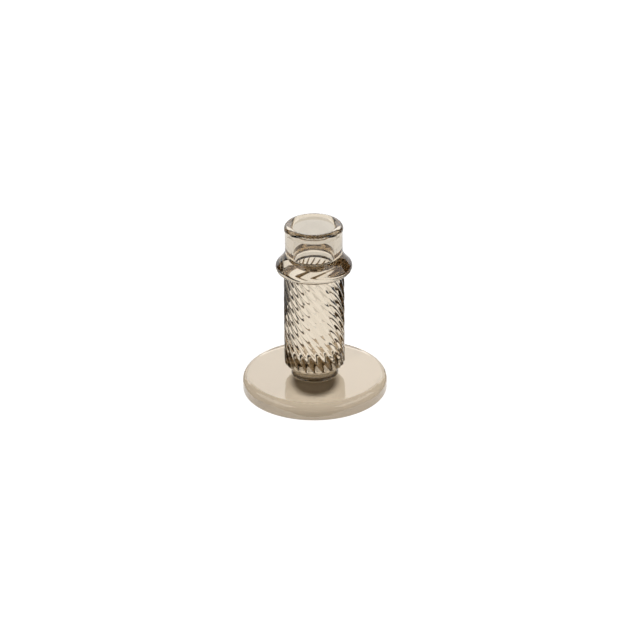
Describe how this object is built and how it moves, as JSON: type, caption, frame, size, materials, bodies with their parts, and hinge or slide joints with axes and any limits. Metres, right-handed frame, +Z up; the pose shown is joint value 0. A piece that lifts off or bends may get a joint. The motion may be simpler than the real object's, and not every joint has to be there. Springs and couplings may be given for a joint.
{
  "type": "glass candlestick",
  "caption": "Low glass candlestick with a round foot, a solid stem of twisted ribs, a collar ring and a cup that holds a taper candle.",
  "frame": {"origin": "middle of the sole, on the surface that the candlestick stands on", "axes": "+Z up along the axis of the stem and the candle bore; -Y faces the picture's camera"},
  "size_m": [0.08, 0.08, 0.0992],
  "materials": {
    "smoky_glass": "fire-polished, smoky taupe"
  },
  "bodies": {
    "root": {"foot": "smoky_glass", "neck_bit": "smoky_glass", "twisted_stem": "smoky_glass", "collar_ring": "smoky_glass", "candle_cup": "smoky_glass"}
  },
  "joints": []
}
